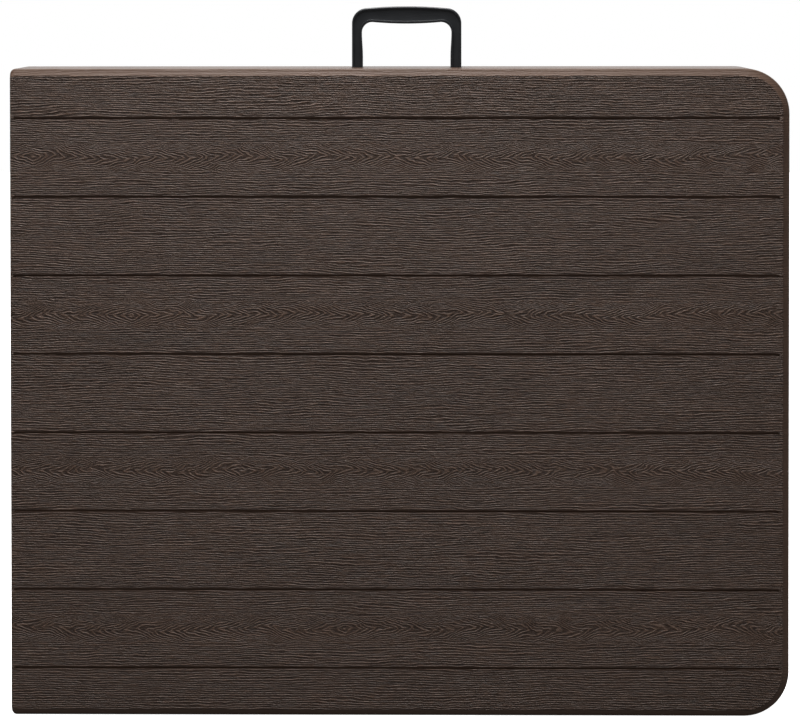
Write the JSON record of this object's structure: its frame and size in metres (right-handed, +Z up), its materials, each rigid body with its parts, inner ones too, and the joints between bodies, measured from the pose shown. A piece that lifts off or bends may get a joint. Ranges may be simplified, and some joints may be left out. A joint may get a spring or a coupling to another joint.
{
  "type": "folding table",
  "caption": "Fold-in-half table with a plank-embossed plastic top, closed on its long edge, with folding legs, hook braces, edge latch and a slide-out carry handle",
  "frame": {"origin": "bottom centre of the closed table's box, on the surface that its long edge stands on", "axes": "+Z up across the table's width, X along the table's length from the centre hinge (-X) to the free end (+X), half A's top faces -Y"},
  "size_m": [0.9215, 0.091, 0.835],
  "materials": {
    "brown_plastic": "dark brown blow-moulded plastic embossed with wood grain",
    "frame_paint": "satin dark grey powder coat",
    "black_plastic": "matt black moulded plastic",
    "handle_plastic": "black moulded plastic with a fine texture",
    "zinc_fasteners": "zinc-plated steel",
    "zinc_plate": "pressed steel plate, zinc-plated"
  },
  "bodies": {
    "half_a": {"tabletop_a": "brown_plastic", "rail_lower_a": "frame_paint", "rail_upper_a": "frame_paint", "rail_plugs_a": "black_plastic", "hinge_plate_lower_a": "zinc_plate", "hinge_plate_upper_a": "zinc_plate", "hinge_rivets": "zinc_fasteners", "frame_screws_a": "zinc_fasteners", "leg_brackets_a": "zinc_plate", "leg_pivot_bolts_a": "zinc_fasteners", "brace_catches_a": "zinc_plate", "leg_cradles_a": "black_plastic", "handle_guides": "black_plastic", "latch_screw": "zinc_fasteners"},
    "half_b": {"tabletop_b": "brown_plastic", "rail_lower_b": "frame_paint", "rail_upper_b": "frame_paint", "rail_plugs_b": "black_plastic", "hinge_plate_lower_b": "zinc_plate", "hinge_plate_upper_b": "zinc_plate", "frame_screws_b": "zinc_fasteners", "leg_brackets_b": "zinc_plate", "leg_pivot_bolts_b": "zinc_fasteners", "brace_catches_b": "zinc_plate", "leg_cradles_b": "black_plastic", "latch_stud": "zinc_fasteners"},
    "handle": {"carry_handle": "handle_plastic"},
    "latch": {"latch_hook": "zinc_plate"},
    "leg_lower_a": {"leg_tube_lower_a": "frame_paint", "leg_head_lower_a": "zinc_plate", "foot_cap_lower_a": "black_plastic", "brace_rivet_lower_a": "zinc_fasteners"},
    "brace_lower_a": {"hook_brace_lower_a": "zinc_plate"},
    "leg_upper_a": {"leg_tube_upper_a": "frame_paint", "leg_head_upper_a": "zinc_plate", "foot_cap_upper_a": "black_plastic", "brace_rivet_upper_a": "zinc_fasteners"},
    "brace_upper_a": {"hook_brace_upper_a": "zinc_plate"},
    "leg_lower_b": {"leg_tube_lower_b": "frame_paint", "leg_head_lower_b": "zinc_plate", "foot_cap_lower_b": "black_plastic", "brace_rivet_lower_b": "zinc_fasteners"},
    "brace_lower_b": {"hook_brace_lower_b": "zinc_plate"},
    "leg_upper_b": {"leg_tube_upper_b": "frame_paint", "leg_head_upper_b": "zinc_plate", "foot_cap_upper_b": "black_plastic", "brace_rivet_upper_b": "zinc_fasteners"},
    "brace_upper_b": {"hook_brace_upper_b": "zinc_plate"}
  },
  "joints": [
    {"name": "centre_fold", "type": "hinge", "parent": "half_a", "child": "half_b", "pos_m": [-0.45475, 0, 0.381], "axis": [0, 0, 1], "range_deg": [0, 180]},
    {"name": "handle_slide", "type": "slide", "parent": "half_a", "child": "handle", "axis": [0, 0, -1], "range_m": [0, 0.04]},
    {"name": "latch_turn", "type": "hinge", "parent": "half_a", "child": "latch", "pos_m": [-0.24975, -0.02, 0.005], "axis": [0, 0, 1], "range_deg": [0, 90]},
    {"name": "leg_fold_lower_a", "type": "hinge", "parent": "half_a", "child": "leg_lower_a", "pos_m": [0.39475, -0.014, 0.029], "axis": [-1, 0, 0], "range_deg": [0, 90]},
    {"name": "brace_fold_lower_a", "type": "hinge", "parent": "leg_lower_a", "child": "brace_lower_a", "pos_m": [0.37825, -0.008, 0.209], "axis": [1, 0, 0], "range_deg": [0, 117.59]},
    {"name": "leg_fold_upper_a", "type": "hinge", "parent": "half_a", "child": "leg_upper_a", "pos_m": [0.35275, -0.014, 0.733], "axis": [1, 0, 0], "range_deg": [0, 90]},
    {"name": "brace_fold_upper_a", "type": "hinge", "parent": "leg_upper_a", "child": "brace_upper_a", "pos_m": [0.33625, -0.008, 0.553], "axis": [-1, 0, 0], "range_deg": [0, 117.59]},
    {"name": "leg_fold_lower_b", "type": "hinge", "parent": "half_b", "child": "leg_lower_b", "pos_m": [0.39475, 0.014, 0.029], "axis": [1, 0, 0], "range_deg": [0, 90]},
    {"name": "brace_fold_lower_b", "type": "hinge", "parent": "leg_lower_b", "child": "brace_lower_b", "pos_m": [0.37825, 0.008, 0.209], "axis": [-1, 0, 0], "range_deg": [0, 117.59]},
    {"name": "leg_fold_upper_b", "type": "hinge", "parent": "half_b", "child": "leg_upper_b", "pos_m": [0.35275, 0.014, 0.733], "axis": [-1, 0, 0], "range_deg": [0, 90]},
    {"name": "brace_fold_upper_b", "type": "hinge", "parent": "leg_upper_b", "child": "brace_upper_b", "pos_m": [0.33625, 0.008, 0.553], "axis": [1, 0, 0], "range_deg": [0, 117.59]}
  ],
  "couplings": [
    {"joint": "leg_fold_lower_a", "follows": "centre_fold", "ratio": 0.5},
    {"joint": "brace_fold_lower_a", "follows": "centre_fold", "ratio": 0.65325},
    {"joint": "leg_fold_upper_a", "follows": "centre_fold", "ratio": 0.5},
    {"joint": "brace_fold_upper_a", "follows": "centre_fold", "ratio": 0.65325},
    {"joint": "leg_fold_lower_b", "follows": "centre_fold", "ratio": 0.5},
    {"joint": "brace_fold_lower_b", "follows": "centre_fold", "ratio": 0.65325},
    {"joint": "leg_fold_upper_b", "follows": "centre_fold", "ratio": 0.5},
    {"joint": "brace_fold_upper_b", "follows": "centre_fold", "ratio": 0.65325}
  ]
}
